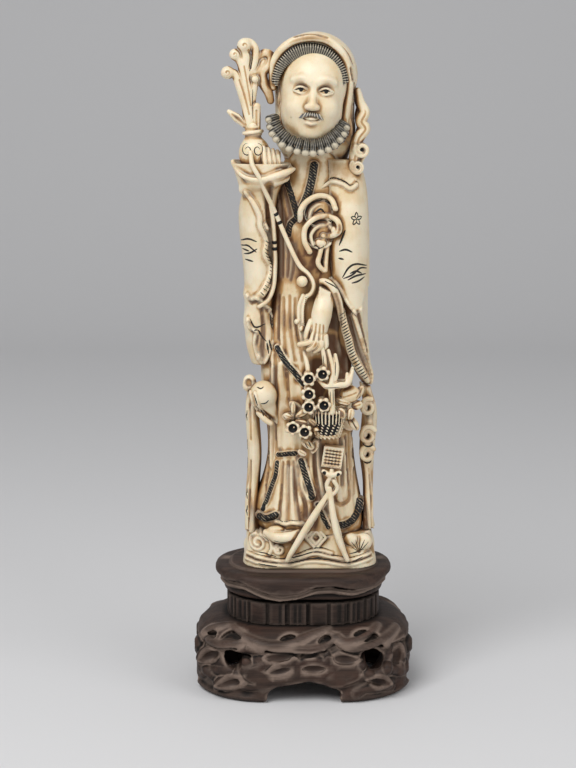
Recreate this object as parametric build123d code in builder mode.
from build123d import *
import os
from collections import namedtuple
from itertools import pairwise
from math import asin, copysign, cos, radians, sin, sqrt

# Carved standing figure on a tiered hardwood stand.
# Millimetres, +Z up, front towards -Y, origin at the middle of the stand on the table.

# Section: an ellipse at a rise above the seat. Flank: a section that reaches out from the robe's
# side edge and laps back over it; a lap below zero leaves a pierced gap.
Section = namedtuple("Section", "rise x half_width half_depth y", defaults=(0.0,))
Flank = namedtuple("Flank", "rise reach lap half_depth y", defaults=(0.0,))

# Scallop: a raised bay in the hem of the stand's drape. Hollow: an almond between the stand's roots.
# Fold: a pleat behind the robe, by its angles round the hem and round the waist.
Scallop = namedtuple("Scallop", "x radius")
Hollow = namedtuple("Hollow", "x z half_length half_width tilt")
Fold = namedtuple("Fold", "hem waist")

# Fits
GLUE_GAP = 0.05
PEG_CLEARANCE = 0.25
NODE_SWELL = 1.05

# Stand: carved foot, panelled waist, wavy plate, raised seat
FOOT_WIDTH = 101.5
FOOT_DEPTH = 76.0
FOOT_CORNER = 33.0
FOOT_HEIGHT = 33.5
FOOT_SHOULDER = 14.0
FOOT_UNDERCUT = 4.0
FOOT_WALL = 11.0
FOOT_ROOF = 12.0
FRONT_ARCH_SPAN = 34.0
FRONT_ARCH_RISE = 9.5
SIDE_ARCH_SPAN = 26.0
SIDE_ARCH_RISE = 8.0
PIERCING_WIDTH = 10.0
PIERCING_HEIGHT = 9.0
PIERCING_SPREAD = 30.0
PIERCING_Z = 19.0
DRAPE_STEP = 3.0
DRAPE_HEM_Z = 25.0
SCALLOP_Z = 26.5
SCALLOP_DEPTH = 4.0
SCALLOPS = [
    Scallop(-46.0, 6.0),
    Scallop(-33.5, 7.5),
    Scallop(-6.0, 6.0),
    Scallop(12.5, 6.5),
    Scallop(30.0, 8.0),
]
HOLLOW_DEPTH = 1.4
HOLLOWS = [
    Hollow(-43.0, 18.4, 4.6, 2.2, 28.0),
    Hollow(-32.6, 9.0, 6.6, 1.9, 16.0),
    Hollow(-20.5, 12.4, 4.6, 1.5, -6.0),
    Hollow(-11.1, 21.6, 5.8, 2.2, 4.0),
    Hollow(-10.5, 15.4, 5.0, 1.7, 12.0),
    Hollow(4.6, 16.4, 5.2, 1.9, 0.0),
    Hollow(18.7, 20.6, 5.2, 2.4, -4.0),
    Hollow(19.5, 12.6, 5.2, 1.6, 8.0),
    Hollow(34.5, 9.3, 4.6, 2.0, -16.0),
    Hollow(43.0, 18.0, 2.2, 4.4, -10.0),
]
WAIST_WIDTH = 71.0
WAIST_DEPTH = 53.0
WAIST_CORNER = 24.0
WAIST_HEIGHT = 10.5
PANEL_GROOVE_WIDTH = 1.6
PANEL_GROOVE_DEPTH = 1.2
PANEL_PITCH = 9.5
PLATE_WIDTH = 82.0
PLATE_DEPTH = 62.0
PLATE_CORNER = 29.0
PLATE_THICKNESS = 13.0
PLATE_LIP = 8.0
PLATE_LIP_STEP = 3.0
PLATE_ROUND = 3.0
SEAT_WIDTH = 68.0
SEAT_DEPTH = 42.0
SEAT_CORNER = 18.0
SEAT_RISE = 1.0
DOWEL_RADIUS = 4.0
PEG_RISE = 11.0
PEG_CHAMFER = 0.8

# Ground and robe, as rises above the seat
GROUND_X = 3.0
GROUND_WIDTH = 62.0
GROUND_DEPTH = 37.0
GROUND_CORNER = 13.0
GROUND_HEIGHT = 15.0
GROUND_TAPER = 2.6
HEM = Section(GROUND_HEIGHT, 4.0, 23.0, 16.5)
KNEE = Section(40.0, 3.0, 21.6, 16.0)
THIGH = Section(76.0, 2.2, 20.4, 15.6)
HIP = Section(112.0, 1.6, 18.4, 15.0)
WAISTLINE = Section(132.0, 2.0, 16.4, 14.4)
CHEST = Section(158.0, 2.2, 17.4, 14.4)
SHOULDER = Section(178.0, 3.4, 15.5, 12.5)
NECKLINE = Section(191.0, 3.0, 8.6, 8.6)
ROBE = [HEM, KNEE, THIGH, HIP, WAISTLINE, CHEST, SHOULDER, NECKLINE]
FOLD_RADIUS = 3.2
FOLD_DEPTH = 1.6
BACK_FOLDS = [
    Fold(28.0, 40.0),
    Fold(53.0, 58.0),
    Fold(78.0, 82.0),
    Fold(103.0, 101.0),
    Fold(128.0, 122.0),
    Fold(153.0, 143.0),
]

# Sleeves, from the tip up
RIGHT_SLEEVE_FLANKS = [
    Flank(93.0, 6.0, 2.0, 6.5, -1.0),
    Flank(108.0, 10.0, 3.0, 10.0, -1.0),
    Flank(132.0, 12.7, 1.5, 12.5, -1.0),
    Flank(153.0, 14.0, 2.8, 13.0, -2.0),
    Flank(170.0, 14.5, 2.0, 11.0, -6.0),
]
CUFF_FLANKS = [
    RIGHT_SLEEVE_FLANKS[-1],
    Flank(178.0, 18.0, 3.7, 9.5, -10.0),
    Flank(184.5, 23.0, 3.0, 8.5, -12.0),
]
LEFT_SLEEVE_FLANKS = [
    Flank(83.0, 10.0, -4.8, 5.0, -1.0),
    Flank(92.0, 9.8, -0.6, 8.5, -1.0),
    Flank(107.0, 9.6, 3.2, 11.5, -1.0),
    Flank(130.0, 11.4, 7.4, 14.5, -2.0),
    Flank(150.0, 10.6, 10.2, 15.5, -2.5),
    Flank(170.0, 9.6, 11.6, 13.5, -2.0),
    Flank(186.0, 9.8, 7.4, 9.5, -1.0),
]

# Head, hair, beard, hood
HEAD_X = 2.6
HEAD_Y = -7.0
HEAD_LIFT = 29.0
SKULL_RADIUS = 14.5
CHIN_DROP = 15.0
CHIN_RADIUS = 10.4
EAR_RADIUS = 2.2
EAR_LENGTH = 6.0
NECK_RADIUS = 6.5
NECK_SOCKET_DEPTH = 9.0
HAIR_THICKNESS = 3.0
HAIRLINE_Y = -13.0
BEARD_RADIUS = 3.2
BEARD_DROP = 30.5
BEARD_END_DROP = 18.0
BEARD_SPREAD = 17.0
BEARD_FRONT = 9.5
CURL_COUNT = 11
CURL_RADIUS = 2.0
BEARD_LEAN = 1.0
HOOD_X = 5.0
HOOD_Y = 1.0
HOOD_LIFT = 3.0
HOOD_CROWN_RADIUS = 18.4
HOOD_DRAPE_DROP = 24.0
HOOD_DRAPE_RADIUS = 17.6
HOOD_NAPE_DROP = 20.0
HOOD_NAPE_BACK = 4.0
HOOD_NAPE_RADIUS = 12.5
HOOD_RIM_TOP_Y = -14.0
HOOD_RIM_FOOT_Y = -3.0
HOOD_SCROLL_RADIUS = 1.9

# Hands and sprig
FIST_OFFSET = -3.4
FIST_RADIUS = 5.8
FIST_LIFT = 5.5
WRIST_LEAN = 2.0
WRIST_SINK = 2.0
FIST_RING_LIFT = 8.0
FIST_RING_RADIUS = 3.7
FIST_RING_HEIGHT = 2.0
FIST_NECK_RADIUS = 2.6
FIST_NECK_HEIGHT = 5.0
SPRIG_STEM_RADIUS = 2.2
SPRIG_TWIG_RADIUS = 1.6
SPRIG_KNOB_RADIUS = 3.2
HAND_PROUD = 6.5
HAND_ROOT = 4.0
FINGER_ROUND = 1.2

# Cords and ribbons on the front
CORD_RADIUS = 1.05
CORD_PROUD = 0.9
BALL_RADIUS = 2.7
BALL_PROUD = 1.6
RIBBON_RADIUS = 1.3
RIBBON_PROUD = 0.8
CHEST_RING_X = 7.0
CHEST_RING_RISE = 163.5
CHEST_RING_RADIUS = 7.0
CHEST_RING_TUBE = 1.6
CHEST_RING_STEP = 9.5
CHEST_TAIL = 8.0
CHEST_TAIL_LEAN = 2.0
SASH_DROP = 4.0
SASH_HEIGHT = 5.0
SASH_PROUD = 1.1
STREAMER_RADIUS = 1.3
STREAMER_PROUD = 1.2

# Fruit, basket and flowers
FRUIT_X = -18.2
FRUIT_RISE = 80.0
FRUIT_RADIUS = 6.4
FRUIT_TAIL = 13.0
FRUIT_TIP_RADIUS = 1.4
FRUIT_LEAF_RADIUS = 3.6
BASKET_X = 11.0
BASKET_FOOT_RISE = 61.5
BASKET_HEIGHT = 13.0
BASKET_RIM_RADIUS = 8.2
BASKET_FOOT_RADIUS = 5.2
BASKET_BELLY_RADIUS = 7.4
BASKET_LIP = 2.0
BASKET_PROUD = 4.0
BASKET_BOWL_DEPTH = 3.0
HANDLE_RADIUS = 1.5
BLOSSOM_RADIUS = 2.5
BLOSSOM_EYE_RADIUS = 1.2
BLOSSOM_EYE_DEPTH = 1.0
BLOSSOM_PROUD = 11.0
BLOSSOM_ROOT = 3.0
LEAF_HALF_LENGTH = 4.6
LEAF_HALF_WIDTH = 2.8
LEAF_PROUD = 5.0
LEAF_ROOT = 3.0
PLAQUE_WIDTH = 9.2
PLAQUE_HEIGHT = 9.8
PLAQUE_RISE = 52.0
PLAQUE_X = 13.2
PLAQUE_PROUD = 5.0
PLAQUE_ROOT = 3.0
PLAQUE_TILT = -8.0

# Scarf ends beside the robe, and the shoe
RIGHT_SCARF_FLANKS = [
    Flank(GROUND_HEIGHT, 8.0, -2.0, 9.0),
    Flank(42.0, 7.1, -1.7, 8.0),
    Flank(66.0, 7.2, -2.2, 7.0),
    Flank(82.0, 7.0, -2.2, 6.0),
]
LEFT_SCARF_FLANKS = [
    Flank(GROUND_HEIGHT, 6.8, -1.2, 9.0),
    Flank(39.0, 7.6, -2.6, 7.0),
    Flank(54.0, 9.5, -2.9, 7.0),
    Flank(72.0, 10.0, -4.0, 6.0),
    Flank(84.5, 9.0, -4.2, 5.0),
]
SHOE_X = -8.5
SHOE_LENGTH = 9.0
SHOE_RADIUS = 3.2

# Bone pins inside
PIN_RADIUS = 0.9
PIN_LENGTH = 9.0
PIN_PROUD = 3.0
SIDE_PIN_RISES = [HIP.rise, CHEST.rise - 8.0]
GROUND_PIN_SPREAD = 12.0

# Heights that follow from the tiers
WAIST_Z = FOOT_HEIGHT
PLATE_Z = WAIST_Z + WAIST_HEIGHT
SEAT_Z = PLATE_Z + PLATE_THICKNESS + SEAT_RISE
POCKET_Z = FOOT_HEIGHT - FOOT_ROOF
PEG_TOP_Z = SEAT_Z + PEG_RISE
HEAD_RISE = NECKLINE.rise + HEAD_LIFT
HEAD_CENTRE = (HEAD_X, HEAD_Y, SEAT_Z + HEAD_RISE)
REACH = 2 * FOOT_WIDTH
ROOT_HEIGHT = FOOT_HEIGHT - DRAPE_STEP
UPRIGHT = (Align.CENTER, Align.CENTER, Align.MIN)
LEFT, RIGHT = 1, -1


def robe_section(rise):
    """Middle and half sizes of the robe at a rise above the seat."""
    for low, high in pairwise(ROBE):
        if rise <= high.rise:
            share = max(0.0, (rise - low.rise) / (high.rise - low.rise))
            return Section(*(a + share * (b - a) for a, b in zip(low, high)))
    return ROBE[-1]


def beside_robe(side, flanks):
    """Sections on one side of the robe, placed from its edge."""
    sections = []
    for flank in flanks:
        robe_at = robe_section(flank.rise)
        edge = robe_at.x + side * robe_at.half_width
        middle = edge + side * (flank.reach - flank.lap) / 2
        sections.append(Section(flank.rise, middle, (flank.reach + flank.lap) / 2, flank.half_depth, flank.y))
    return sections


def stack(sections):
    """Lofts the part being built through ellipses at their rises above the seat."""
    outlines = []
    for section in sections:
        with BuildSketch(Plane.XY.offset(SEAT_Z + section.rise)) as outline:
            with Locations((section.x, section.y)):
                Ellipse(section.half_width, section.half_depth)
        outlines.append(outline.sketch)
    loft(outlines)


def facing_out(x, z, height, side):
    """Plane that faces out of the foot's rounded edge at x and z: front for LEFT, behind for RIGHT."""
    lean = max(0.0, abs(x) - FOOT_WIDTH / 2 + FOOT_CORNER) / FOOT_CORNER
    out_x, out_y = copysign(lean, x), -sqrt(1 - lean**2)
    rise = max(0.0, z - height + FOOT_SHOULDER) / FOOT_SHOULDER
    level = cos(asin(rise))
    inset = FOOT_SHOULDER * (1 - level)
    corner_y = FOOT_CORNER - FOOT_DEPTH / 2
    edge_y = corner_y + FOOT_CORNER * out_y - inset * out_y
    return Plane(
        origin=(side * (x - inset * out_x), side * edge_y, z),
        x_dir=(-side * out_y, side * out_x, 0),
        z_dir=(side * out_x * level, side * out_y * level, rise),
    )


def fold_point(section, angle):
    """Point outside the robe where a pleat of FOLD_DEPTH is cut, at an angle round a section."""
    across, back = cos(radians(angle)), sin(radians(angle))
    outward = Vector(across / section.half_width, back / section.half_depth, 0).normalized()
    on_edge = Vector(section.x + section.half_width * across, section.y + section.half_depth * back)
    point = on_edge + outward * (FOLD_RADIUS - FOLD_DEPTH)
    return (point.X, point.Y, SEAT_Z + section.rise)


def run_between(start, end, low, high):
    """Adds a round run, tapering where its two radii differ, to the part being built."""
    along = Vector(*end) - Vector(*start)
    with Locations(Plane(origin=start, z_dir=along)):
        if low == high:
            Cylinder(low, along.length, align=UPRIGHT)
        else:
            Cone(low, high, along.length, align=UPRIGHT)


def limb(points, radii):
    """Adds a branch of runs with rounded nodes to the part being built."""
    for (start, end), (low, high) in zip(pairwise(points), pairwise(radii)):
        run_between(start, end, low, high)
    for point, radius in zip(points, radii):
        with Locations(point):
            Sphere(radius * NODE_SWELL)


def even_limb(points, radius):
    """Adds a branch of one thickness to the part being built."""
    limb(points, [radius] * len(points))


def tree(nodes, runs, radius):
    """Adds a branching twig of one thickness, given its named nodes, to the part being built."""
    for point in nodes.values():
        with Locations(point):
            Sphere(radius * NODE_SWELL)
    for start, end in runs:
        run_between(nodes[start], nodes[end], radius, radius)


def cut_by(*neighbours):
    """Cuts the part being built to meet its neighbours face to face."""
    for neighbour in neighbours:
        add(neighbour.part, mode=Mode.SUBTRACT)


def save(builder, label):
    """Labels a piece and writes its main solid."""
    piece = builder.part.solids().sort_by(SortBy.VOLUME)[-1]
    piece.label = label
    export_step(piece, f"parts/{label}.step")


def save_group(builder, label):
    """Labels and writes a group of separate solids."""
    builder.part.label = label
    export_step(builder.part, f"parts/{label}.step")


os.makedirs("parts", exist_ok=True)

# Plain trunk that the robe is finished from and that the carved pieces are seated on
with BuildPart() as trunk:
    stack(ROBE)


def on_robe(x, rise, proud=0.0):
    """Point that stands proud of the robe's front at x and a rise above the seat."""
    sight = Axis((x, -REACH, SEAT_Z + rise), (0, 1, 0))
    hits = trunk.part.find_intersection_points(sight)
    front = min((hit.Y for hit, normal in hits), default=0.0)
    return (x, front - proud, SEAT_Z + rise)


# Stand: roots with almond hollows, and over them the drape with its scalloped hem
with BuildPart() as roots:
    with BuildSketch():
        RectangleRounded(FOOT_WIDTH, FOOT_DEPTH, FOOT_CORNER)
    extrude(amount=ROOT_HEIGHT)
    fillet(roots.faces().sort_by(Axis.Z)[-1].edges(), FOOT_SHOULDER)
    fillet(roots.faces().sort_by(Axis.Z)[0].edges(), FOOT_UNDERCUT)
    for side in (LEFT, RIGHT):
        for hollow in HOLLOWS:
            with BuildSketch(facing_out(hollow.x, hollow.z, ROOT_HEIGHT, side)):
                Ellipse(hollow.half_length, hollow.half_width, rotation=hollow.tilt)
            extrude(amount=HOLLOW_DEPTH, both=True, mode=Mode.SUBTRACT)

with BuildPart() as stand_foot:
    with BuildSketch():
        RectangleRounded(FOOT_WIDTH, FOOT_DEPTH, FOOT_CORNER)
    extrude(amount=FOOT_HEIGHT)
    fillet(stand_foot.faces().sort_by(Axis.Z)[-1].edges(), FOOT_SHOULDER)
    with BuildSketch():
        Rectangle(REACH, REACH)
    extrude(amount=DRAPE_HEM_Z, mode=Mode.SUBTRACT)
    for side in (LEFT, RIGHT):
        for scallop in SCALLOPS:
            with Locations(facing_out(scallop.x, SCALLOP_Z, FOOT_HEIGHT, side)):
                Cylinder(scallop.radius, 2 * SCALLOP_DEPTH, mode=Mode.SUBTRACT)
    add(roots.part)
    with BuildSketch():
        RectangleRounded(FOOT_WIDTH - 2 * FOOT_WALL, FOOT_DEPTH - 2 * FOOT_WALL, FOOT_CORNER - FOOT_WALL)
    extrude(amount=POCKET_Z, mode=Mode.SUBTRACT)
    with BuildSketch(Plane.XZ):
        Ellipse(FRONT_ARCH_SPAN / 2, FRONT_ARCH_RISE)
        with Locations((-PIERCING_SPREAD, PIERCING_Z), (PIERCING_SPREAD, PIERCING_Z)):
            Ellipse(PIERCING_WIDTH / 2, PIERCING_HEIGHT / 2)
    extrude(amount=REACH, both=True, mode=Mode.SUBTRACT)
    with BuildSketch(Plane.YZ):
        Ellipse(SIDE_ARCH_SPAN / 2, SIDE_ARCH_RISE)
    extrude(amount=REACH, both=True, mode=Mode.SUBTRACT)
    with Locations((0, 0, FOOT_HEIGHT)):
        Hole(DOWEL_RADIUS + GLUE_GAP, depth=FOOT_ROOF)

with BuildPart() as stand_waist:
    with BuildSketch(Plane.XY.offset(WAIST_Z)) as waist_outline:
        RectangleRounded(WAIST_WIDTH, WAIST_DEPTH, WAIST_CORNER)
    extrude(amount=WAIST_HEIGHT)
    waist_edge = waist_outline.sketch.face().outer_wire()
    groove_count = round(waist_edge.length / PANEL_PITCH)
    for step in range(groove_count):
        share = step / groove_count
        with Locations(Plane(origin=waist_edge @ share, x_dir=waist_edge % share)):
            Box(
                PANEL_GROOVE_WIDTH,
                2 * PANEL_GROOVE_DEPTH,
                WAIST_HEIGHT,
                align=UPRIGHT,
                mode=Mode.SUBTRACT,
            )
    with Locations((0, 0, PLATE_Z)):
        Hole(DOWEL_RADIUS + GLUE_GAP, depth=WAIST_HEIGHT)

with BuildPart() as stand_plate:
    with BuildSketch(Plane.XY.offset(PLATE_Z)):
        RectangleRounded(
            PLATE_WIDTH - 2 * PLATE_LIP_STEP,
            PLATE_DEPTH - 2 * PLATE_LIP_STEP,
            PLATE_CORNER - PLATE_LIP_STEP,
        )
    extrude(amount=PLATE_THICKNESS)
    fillet(stand_plate.faces().sort_by(Axis.Z)[0].edges(), PLATE_ROUND)
    with BuildSketch(Plane.XY.offset(SEAT_Z - SEAT_RISE - PLATE_LIP)):
        RectangleRounded(PLATE_WIDTH, PLATE_DEPTH, PLATE_CORNER)
    extrude(amount=PLATE_LIP)
    fillet(stand_plate.faces().sort_by(Axis.Z)[-1].edges(), PLATE_ROUND)
    with BuildSketch(Plane.XY.offset(SEAT_Z - SEAT_RISE)):
        RectangleRounded(SEAT_WIDTH, SEAT_DEPTH, SEAT_CORNER)
    extrude(amount=SEAT_RISE)
    with Locations((0, 0, SEAT_Z)):
        Hole(DOWEL_RADIUS + GLUE_GAP, depth=PLATE_THICKNESS + SEAT_RISE)

with BuildPart() as stand_dowel:
    with BuildSketch(Plane.XY.offset(POCKET_Z)):
        Circle(DOWEL_RADIUS)
    extrude(amount=PEG_TOP_Z - POCKET_Z)
    chamfer(stand_dowel.faces().sort_by(Axis.Z)[-1].edges(), PEG_CHAMFER)

# Bone pins behind the fruit, basket and plaque, at the sleeves and under the hem
with BuildPart() as pins:
    for x, rise in (
        (FRUIT_X + FRUIT_RADIUS / 2, FRUIT_RISE),
        (BASKET_X, BASKET_FOOT_RISE + BASKET_HEIGHT / 2),
        (PLAQUE_X, PLAQUE_RISE),
    ):
        with Locations(Plane(origin=on_robe(x, rise, PIN_PROUD), z_dir=(0, 1, 0))):
            Cylinder(PIN_RADIUS, PIN_LENGTH, align=UPRIGHT)
    for rise in SIDE_PIN_RISES:
        section = robe_section(rise)
        for side in (LEFT, RIGHT):
            edge = section.x + side * (section.half_width - PIN_LENGTH / 2)
            with Locations(Plane(origin=(edge, 0, SEAT_Z + rise), z_dir=(side, 0, 0))):
                Cylinder(PIN_RADIUS, PIN_LENGTH, align=UPRIGHT)
    for side in (LEFT, RIGHT):
        with Locations((GROUND_X + side * GROUND_PIN_SPREAD, 0, SEAT_Z + GROUND_HEIGHT)):
            Cylinder(PIN_RADIUS, PIN_LENGTH)

# Ground and robe
with BuildPart() as rock_base:
    for rise, inset in ((0.0, 0.0), (GROUND_HEIGHT, GROUND_TAPER)):
        with BuildSketch(Plane.XY.offset(SEAT_Z + rise)):
            with Locations((GROUND_X, 0)):
                RectangleRounded(GROUND_WIDTH - 2 * inset, GROUND_DEPTH - 2 * inset, GROUND_CORNER)
    loft()
    with Locations(Plane(origin=(0, 0, SEAT_Z), z_dir=(0, 0, -1))):
        Hole(DOWEL_RADIUS + PEG_CLEARANCE, depth=PEG_RISE + PEG_CLEARANCE)
    cut_by(pins)

with BuildPart() as head:
    chin = (HEAD_X, HEAD_Y, SEAT_Z + HEAD_RISE - CHIN_DROP)
    limb([chin, HEAD_CENTRE], [CHIN_RADIUS, SKULL_RADIUS])
    for side in (LEFT, RIGHT):
        ear_x = HEAD_X + side * SKULL_RADIUS
        ear_top = (ear_x, HEAD_Y + EAR_RADIUS, SEAT_Z + HEAD_RISE)
        ear_lobe = (ear_x - side * EAR_RADIUS, HEAD_Y + EAR_RADIUS, SEAT_Z + HEAD_RISE - EAR_LENGTH)
        even_limb([ear_lobe, ear_top], EAR_RADIUS)
    with BuildSketch(Plane.XY.offset(SEAT_Z + NECKLINE.rise - NECK_SOCKET_DEPTH)):
        with Locations((NECKLINE.x, NECKLINE.y)):
            Circle(NECK_RADIUS)
    extrude(amount=HEAD_RISE - CHIN_DROP - NECKLINE.rise + NECK_SOCKET_DEPTH)

with BuildPart() as back_folds:
    for fold in BACK_FOLDS:
        hem_point = fold_point(HEM, fold.hem)
        thigh_point = fold_point(THIGH, (fold.hem + fold.waist) / 2)
        even_limb([hem_point, thigh_point, fold_point(WAISTLINE, fold.waist)], FOLD_RADIUS)

with BuildPart() as robe:
    add(trunk.part)
    cut_by(pins, head, back_folds)

# Head dress
with BuildPart() as hair_cap:
    with Locations(HEAD_CENTRE):
        Sphere(SKULL_RADIUS + HAIR_THICKNESS)
    with BuildSketch(Plane.XZ.offset(-HAIRLINE_Y)):
        with Locations((HEAD_X, SEAT_Z + HEAD_RISE)):
            Rectangle(REACH, REACH)
    extrude(amount=REACH, mode=Mode.SUBTRACT)
    with BuildSketch(Plane.XY.offset(SEAT_Z + HEAD_RISE)):
        Rectangle(REACH, REACH)
    extrude(amount=-REACH, mode=Mode.SUBTRACT)
    cut_by(head)

with BuildPart() as hood:
    crown = (HOOD_X, HOOD_Y, SEAT_Z + HEAD_RISE + HOOD_LIFT)
    drape = (HOOD_X, HOOD_Y, crown[2] - HOOD_DRAPE_DROP)
    nape = (HOOD_X, HOOD_Y + HOOD_NAPE_BACK, drape[2] - HOOD_NAPE_DROP)
    limb([nape, drape, crown], [HOOD_NAPE_RADIUS, HOOD_DRAPE_RADIUS, HOOD_CROWN_RADIUS])
    rim_top = crown[2] + 2 * HOOD_CROWN_RADIUS
    rim_foot = drape[2] - 2 * HOOD_DRAPE_RADIUS
    with BuildSketch(Plane.YZ):
        with BuildLine():
            Polyline(
                (HOOD_RIM_FOOT_Y, rim_foot),
                (HOOD_RIM_TOP_Y, rim_top),
                (-REACH, rim_top),
                (-REACH, rim_foot),
                close=True,
            )
        make_face()
    extrude(amount=REACH, both=True, mode=Mode.SUBTRACT)
    cut_by(head, hair_cap, trunk)

with BuildPart() as beard_collar:
    beard_y = HEAD_Y - BEARD_FRONT
    with BuildLine() as beard_path:
        ThreePointArc(
            (HEAD_X - BEARD_SPREAD, HEAD_Y, SEAT_Z + HEAD_RISE - BEARD_END_DROP),
            (HEAD_X + BEARD_LEAN, beard_y, SEAT_Z + HEAD_RISE - BEARD_DROP),
            (HEAD_X + BEARD_SPREAD, HEAD_Y, SEAT_Z + HEAD_RISE - BEARD_END_DROP),
        )
    beard_line = beard_path.line
    with BuildSketch(Plane(origin=beard_line @ 0, z_dir=beard_line % 0)):
        Circle(BEARD_RADIUS)
    sweep(path=beard_line)
    for step in range(CURL_COUNT):
        curl = beard_line @ ((step + 0.5) / CURL_COUNT)
        outward = (curl - Vector(*HEAD_CENTRE)).normalized()
        with Locations(curl + outward * BEARD_RADIUS):
            Sphere(CURL_RADIUS)
    cut_by(head, hair_cap, hood, trunk)

# Sleeves
cuff_sections = beside_robe(RIGHT, CUFF_FLANKS)
with BuildPart() as right_sleeve:
    stack(beside_robe(RIGHT, RIGHT_SLEEVE_FLANKS))
    stack(cuff_sections)
    cut_by(pins, trunk, hood, beard_collar)

with BuildPart() as left_sleeve:
    stack(beside_robe(LEFT, LEFT_SLEEVE_FLANKS))
    cut_by(pins, trunk, hood, beard_collar, head)

# Raised hand, standing in the cuff, and its sprig
cuff = cuff_sections[-1]
fist_x = cuff.x + FIST_OFFSET
fist_z = SEAT_Z + cuff.rise + FIST_LIFT
with BuildPart() as raised_hand:
    wrist = (fist_x + WRIST_LEAN, cuff.y, SEAT_Z + cuff.rise - WRIST_SINK)
    even_limb([wrist, (fist_x, cuff.y, fist_z)], FIST_RADIUS)
    with Locations((fist_x, cuff.y, fist_z + FIST_RING_LIFT)):
        Cylinder(FIST_RING_RADIUS, FIST_RING_HEIGHT)
        Cylinder(FIST_NECK_RADIUS, FIST_NECK_HEIGHT)
    cut_by(right_sleeve, trunk, beard_collar)

# Sprig: (x, y, z) of its nodes from the top of the fist's ring
ring_top = (fist_x, cuff.y, fist_z + FIST_RING_LIFT + FIST_NECK_HEIGHT / 2)
SPRIG_NODES = {
    "fork": (-3.0, 1.0, 9.5),
    "crown": (-3.2, 1.0, 18.5),
    "low_knob": (-11.0, 1.0, 23.9),
    "mid_knob": (-8.4, 1.0, 31.5),
    "arch": (0.6, 1.0, 28.5),
    "top_knob": (-3.0, 1.0, 35.3),
    "leaf_tip": (-10.2, 1.0, 6.1),
    "inner_lobe": (3.0, 2.0, 19.5),
    "inner_tip": (4.8, 2.0, 29.5),
    "inner_leaf": (5.6, 2.0, 10.5),
}
SPRIG_RUNS = [
    ("fork", "crown"),
    ("crown", "low_knob"),
    ("crown", "mid_knob"),
    ("crown", "arch"),
    ("arch", "top_knob"),
    ("fork", "leaf_tip"),
    ("crown", "inner_lobe"),
    ("inner_lobe", "inner_tip"),
    ("inner_lobe", "inner_leaf"),
]
with BuildPart() as fungus_sprig:
    places = {name: tuple(Vector(*ring_top) + Vector(*node)) for name, node in SPRIG_NODES.items()}
    tree(places, SPRIG_RUNS, SPRIG_TWIG_RADIUS)
    with Locations(places["low_knob"], places["mid_knob"], places["top_knob"]):
        Sphere(SPRIG_KNOB_RADIUS)
    with BuildSketch(Plane.XY.offset(ring_top[2])):
        with Locations(ring_top[:2]):
            Circle(SPRIG_STEM_RADIUS)
    with BuildSketch(Plane.XY.offset(places["fork"][2])):
        with Locations(places["fork"][:2]):
            Circle(SPRIG_TWIG_RADIUS)
    loft()

# Scarf end: (x, y, z) of its bends from the hood's side at the crown
SCROLL_BENDS = [
    (-0.9, 3.0, -7.0),
    (2.2, 0.0, -14.0),
    (0.8, -1.0, -19.0),
    (2.6, -2.0, -23.0),
    (0.2, -3.0, -28.0),
    (-0.8, -4.0, -34.0),
    (3.0, -5.0, -35.0),
    (-1.0, -6.0, -42.0),
]
with BuildPart() as hood_scrolls:
    hood_side = Vector(*crown) + Vector(HOOD_CROWN_RADIUS, 0, 0)
    even_limb([tuple(hood_side + Vector(*bend)) for bend in SCROLL_BENDS], HOOD_SCROLL_RADIUS)
    cut_by(hood, left_sleeve, trunk, head, beard_collar)

# Lowered hand, from wrist to the pointing finger: (x, rise) round its outline
HAND_OUTLINE = [
    (6.2, 132.0),
    (13.4, 128.5),
    (13.0, 116.0),
    (9.6, 104.0),
    (-2.6, 103.4),
    (-2.6, 106.6),
    (4.0, 107.6),
    (3.0, 116.0),
]
with BuildPart() as lowered_hand:
    hand_front = on_robe(*HAND_OUTLINE[-1], HAND_PROUD)[1]
    with BuildSketch(Plane(origin=(0, hand_front, 0), x_dir=(1, 0, 0), z_dir=(0, -1, 0))) as hand_face:
        with BuildLine():
            Polyline([(x, SEAT_Z + rise) for x, rise in HAND_OUTLINE], close=True)
        make_face()
        fillet(hand_face.vertices(), FINGER_ROUND)
    extrude(amount=-HAND_PROUD - HAND_ROOT)
    cut_by(trunk, left_sleeve)

# Waist band and chest
with BuildPart() as sash:
    band = robe_section(WAISTLINE.rise - SASH_DROP)
    with BuildSketch(Plane.XY.offset(SEAT_Z + band.rise - SASH_HEIGHT / 2)):
        with Locations((band.x, band.y)):
            Ellipse(band.half_width + SASH_PROUD, band.half_depth + SASH_PROUD)
    extrude(amount=SASH_HEIGHT)
    cut_by(trunk, left_sleeve, right_sleeve, lowered_hand)

with BuildPart() as chest_scroll:
    for drop in (0.0, CHEST_RING_STEP):
        centre = on_robe(CHEST_RING_X, CHEST_RING_RISE - drop, CHEST_RING_TUBE)
        with Locations(Plane(origin=centre, x_dir=(1, 0, 0), z_dir=(0, -1, 0))):
            Torus(CHEST_RING_RADIUS, CHEST_RING_TUBE)
    tail_rise = CHEST_RING_RISE - CHEST_RING_STEP - CHEST_RING_RADIUS
    even_limb(
        [
            on_robe(CHEST_RING_X, tail_rise, CHEST_RING_TUBE),
            on_robe(CHEST_RING_X + CHEST_TAIL_LEAN, tail_rise - CHEST_TAIL, RIBBON_RADIUS),
        ],
        RIBBON_RADIUS,
    )
    cut_by(trunk, left_sleeve)

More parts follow.
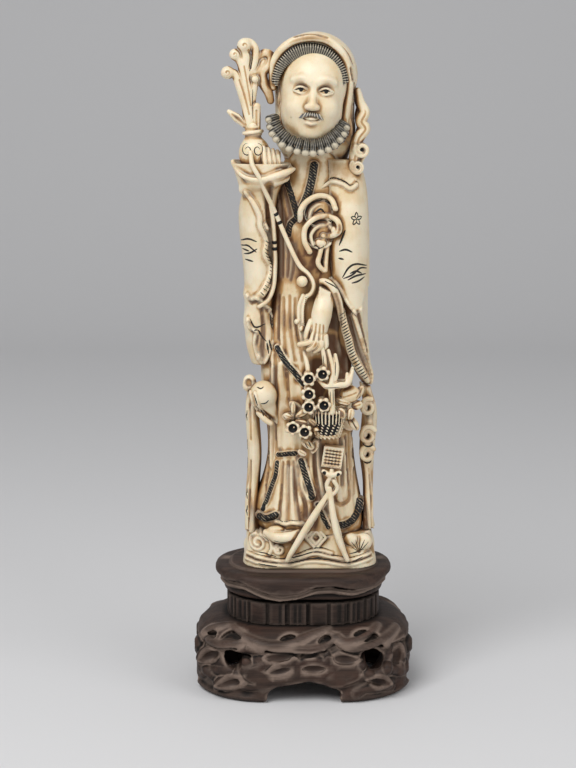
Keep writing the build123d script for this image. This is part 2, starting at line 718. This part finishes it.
# Cords from the raised hand: (x, rise) where they lie on the robe
LONG_CORD_PLACES = [(-10.2, 158.4), (-1.8, 140.0), (3.1, 135.5), (4.4, 131.2), (2.4, 126.6)]
SHORT_CORD_PLACES = [(-13.0, 163.0), (-12.4, 149.0), (-12.2, 138.7), (-13.0, 131.0)]
RIBBON_PLACES = [(-0.6, 131.0), (-0.8, 115.7), (1.6, 95.0)]
BALL_PLACE = (-0.6, 132.5)
CUFF_DRAPE = (-15.4, -16.2, 169.0)
SLEEVE_END = (-19.0, -12.6, 122.5)

with BuildPart() as long_cord:
    start = (fist_x - CORD_RADIUS, cuff.y - FIST_RADIUS, fist_z)
    over_cuff = (cuff.x - CORD_RADIUS, cuff.y - cuff.half_depth, SEAT_Z + cuff.rise - WRIST_SINK)
    past_cuff = (CUFF_DRAPE[0], CUFF_DRAPE[1], SEAT_Z + CUFF_DRAPE[2])
    on_chest = [on_robe(x, rise, CORD_PROUD) for x, rise in LONG_CORD_PLACES]
    even_limb([start, over_cuff, past_cuff, *on_chest], CORD_RADIUS)
    cut_by(raised_hand, right_sleeve, trunk, sash, chest_scroll, lowered_hand)

with BuildPart() as short_cord:
    on_side = [on_robe(x, rise, CORD_PROUD) for x, rise in SHORT_CORD_PLACES]
    on_sleeve = (SLEEVE_END[0], SLEEVE_END[1], SEAT_Z + SLEEVE_END[2])
    even_limb([*on_side, on_sleeve], CORD_RADIUS)
    cut_by(right_sleeve, trunk, sash, long_cord)

with BuildPart() as cord_ball:
    with Locations(on_robe(*BALL_PLACE, BALL_PROUD)):
        Sphere(BALL_RADIUS)
    even_limb([on_robe(x, rise, RIBBON_PROUD) for x, rise in RIBBON_PLACES], RIBBON_RADIUS)
    cut_by(trunk, sash, long_cord, lowered_hand)

# Scarf ends and fruit
with BuildPart() as right_scarf:
    stack(beside_robe(RIGHT, RIGHT_SCARF_FLANKS))
    cut_by(trunk, right_sleeve)

with BuildPart() as left_scarf:
    stack(beside_robe(LEFT, LEFT_SCARF_FLANKS))
    cut_by(trunk, left_sleeve)

with BuildPart() as fruit:
    fruit_y = on_robe(FRUIT_X + FRUIT_RADIUS, FRUIT_RISE)[1]
    fruit_heart = (FRUIT_X, fruit_y, SEAT_Z + FRUIT_RISE)
    fruit_tip = on_robe(FRUIT_X + FRUIT_RADIUS, FRUIT_RISE - FRUIT_TAIL)
    limb([fruit_heart, fruit_tip], [FRUIT_RADIUS, FRUIT_TIP_RADIUS])
    leaf_z = SEAT_Z + FRUIT_RISE + FRUIT_LEAF_RADIUS
    leaf_heart = (FRUIT_X - FRUIT_RADIUS, fruit_y + FRUIT_LEAF_RADIUS, leaf_z)
    with Locations(leaf_heart):
        Sphere(FRUIT_LEAF_RADIUS)
    cut_by(pins, trunk, right_scarf, right_sleeve)

# Basket of flowers
with BuildPart() as flower_basket:
    basket_axis = on_robe(BASKET_X, BASKET_FOOT_RISE, BASKET_PROUD)
    rim_z = basket_axis[2] + BASKET_HEIGHT
    with BuildSketch(Plane.XZ.offset(-basket_axis[1])):
        with BuildLine():
            Polyline((BASKET_X, basket_axis[2]), (BASKET_X + BASKET_FOOT_RADIUS, basket_axis[2]))
            ThreePointArc(
                (BASKET_X + BASKET_FOOT_RADIUS, basket_axis[2]),
                (BASKET_X + BASKET_BELLY_RADIUS, basket_axis[2] + BASKET_HEIGHT / 2),
                (BASKET_X + BASKET_RIM_RADIUS, rim_z),
            )
            Polyline(
                (BASKET_X + BASKET_RIM_RADIUS, rim_z),
                (BASKET_X + BASKET_RIM_RADIUS - BASKET_LIP, rim_z),
                (BASKET_X, rim_z - BASKET_BOWL_DEPTH),
                (BASKET_X, basket_axis[2]),
            )
        make_face()
    revolve(axis=Axis((BASKET_X, basket_axis[1], 0), (0, 0, 1)))
    cut_by(pins, trunk)

# Handle: (x, y, z) of its bends from the middle of the basket's rim
HANDLE_POST = [(1.6, -1.0, -3.0), (2.0, -2.0, 11.5), (0.2, -1.0, 24.5)]
HANDLE_BRANCH = [(-4.6, -2.0, 13.7), (9.0, -1.0, 13.1), (11.0, 1.0, 18.5)]
HANDLE_GRIP = (7.4, 107.0)
with BuildPart() as basket_handle:
    rim_middle = Vector(BASKET_X, basket_axis[1], rim_z)
    post = [tuple(rim_middle + Vector(*bend)) for bend in HANDLE_POST]
    even_limb([*post, on_robe(*HANDLE_GRIP, HAND_PROUD)], HANDLE_RADIUS)
    even_limb([tuple(rim_middle + Vector(*bend)) for bend in HANDLE_BRANCH], HANDLE_RADIUS)
    cut_by(flower_basket, lowered_hand, trunk, left_sleeve)

# Blossoms: (x, rise) of each
BLOSSOM_PLACES = [
    (1.8, 90.2),
    (8.5, 92.4),
    (1.9, 83.8),
    (2.3, 77.6),
    (8.0, 78.2),
    (-5.3, 67.1),
    (0.1, 65.4),
]
with BuildPart() as blossoms:
    for x, rise in BLOSSOM_PLACES:
        with Locations(Plane(origin=on_robe(x, rise, BLOSSOM_PROUD), z_dir=(0, 1, 0))):
            Cylinder(BLOSSOM_RADIUS, BLOSSOM_PROUD + BLOSSOM_ROOT, align=UPRIGHT)
            Cylinder(BLOSSOM_EYE_RADIUS, BLOSSOM_EYE_DEPTH, align=UPRIGHT, mode=Mode.SUBTRACT)
    cut_by(trunk, flower_basket, basket_handle, lowered_hand, cord_ball)

# Leaves and petals: (x, rise) of the middle and the turn of the long axis
LEAF_PLACES = [
    (20.0, 81.0, 50.0),
    (21.4, 73.6, 20.0),
    (19.6, 65.6, -30.0),
    (-3.4, 75.4, -30.0),
    (-6.0, 70.6, 0.0),
    (5.0, 57.4, 70.0),
]
with BuildPart() as flower_leaves:
    for x, rise, turn in LEAF_PLACES:
        with BuildSketch(Plane(origin=on_robe(x, rise, LEAF_PROUD), x_dir=(1, 0, 0), z_dir=(0, -1, 0))):
            Ellipse(LEAF_HALF_LENGTH, LEAF_HALF_WIDTH, rotation=turn)
        extrude(amount=-LEAF_PROUD - LEAF_ROOT)
    cut_by(trunk, flower_basket, basket_handle, blossoms, left_sleeve, left_scarf, pins)

with BuildPart() as plaque:
    plaque_spot = on_robe(PLAQUE_X, PLAQUE_RISE, PLAQUE_PROUD)
    with BuildSketch(Plane(origin=plaque_spot, x_dir=(1, 0, 0), z_dir=(0, -1, 0))):
        Rectangle(PLAQUE_WIDTH, PLAQUE_HEIGHT, rotation=PLAQUE_TILT)
    extrude(amount=-PLAQUE_PROUD - PLAQUE_ROOT)
    cut_by(pins, trunk, flower_basket, flower_leaves)

# Streamers: (x, rise) where they lie on the robe, and x of their ends on the ground
STREAMER_PLACES = {
    "hook": (PLAQUE_X, PLAQUE_RISE - PLAQUE_HEIGHT / 2 - STREAMER_RADIUS),
    "left_loop": (10.2, 39.5),
    "right_loop": (15.2, 38.5),
    "knot": (12.0, 33.0),
    "left_knee": (2.0, 18.0),
    "right_knee": (16.4, 18.0),
}
STREAMER_ENDS = {"left_end": -6.6, "right_end": 20.0}
STREAMER_END_RISE = 5.0
STREAMER_RUNS = [
    ("hook", "left_loop"),
    ("hook", "right_loop"),
    ("left_loop", "knot"),
    ("right_loop", "knot"),
    ("knot", "left_knee"),
    ("knot", "right_knee"),
    ("left_knee", "left_end"),
    ("right_knee", "right_end"),
]
with BuildPart() as streamers:
    bends = {name: on_robe(x, rise, STREAMER_PROUD) for name, (x, rise) in STREAMER_PLACES.items()}
    ground_front = -(GROUND_DEPTH + STREAMER_RADIUS) / 2
    for name, x in STREAMER_ENDS.items():
        bends[name] = (x, ground_front, SEAT_Z + STREAMER_END_RISE)
    tree(bends, STREAMER_RUNS, STREAMER_RADIUS)
    cut_by(trunk, rock_base, plaque)

with BuildPart() as shoe:
    heel = on_robe(SHOE_X - SHOE_LENGTH / 2, GROUND_HEIGHT)
    toe = on_robe(SHOE_X + SHOE_LENGTH / 2, GROUND_HEIGHT, SHOE_RADIUS / 2)
    even_limb([heel, toe], SHOE_RADIUS)
    cut_by(trunk, rock_base, streamers)

for piece, label in (
    (stand_foot, "stand_foot"),
    (stand_waist, "stand_waist"),
    (stand_plate, "stand_plate"),
    (stand_dowel, "stand_dowel"),
    (rock_base, "rock_base"),
    (robe, "robe"),
    (right_sleeve, "right_sleeve"),
    (left_sleeve, "left_sleeve"),
    (raised_hand, "raised_hand"),
    (lowered_hand, "lowered_hand"),
    (head, "head"),
    (hair_cap, "hair_cap"),
    (beard_collar, "beard_collar"),
    (hood, "hood"),
    (hood_scrolls, "hood_scrolls"),
    (fungus_sprig, "fungus_sprig"),
    (long_cord, "long_cord"),
    (short_cord, "short_cord"),
    (cord_ball, "cord_ball"),
    (chest_scroll, "chest_scroll"),
    (sash, "sash"),
    (right_scarf, "right_scarf"),
    (left_scarf, "left_scarf"),
    (fruit, "fruit"),
    (flower_basket, "flower_basket"),
    (basket_handle, "basket_handle"),
    (plaque, "plaque"),
    (streamers, "streamers"),
    (shoe, "shoe"),
):
    save(piece, label)
for group, label in ((pins, "pins"), (blossoms, "blossoms"), (flower_leaves, "flower_leaves")):
    save_group(group, label)
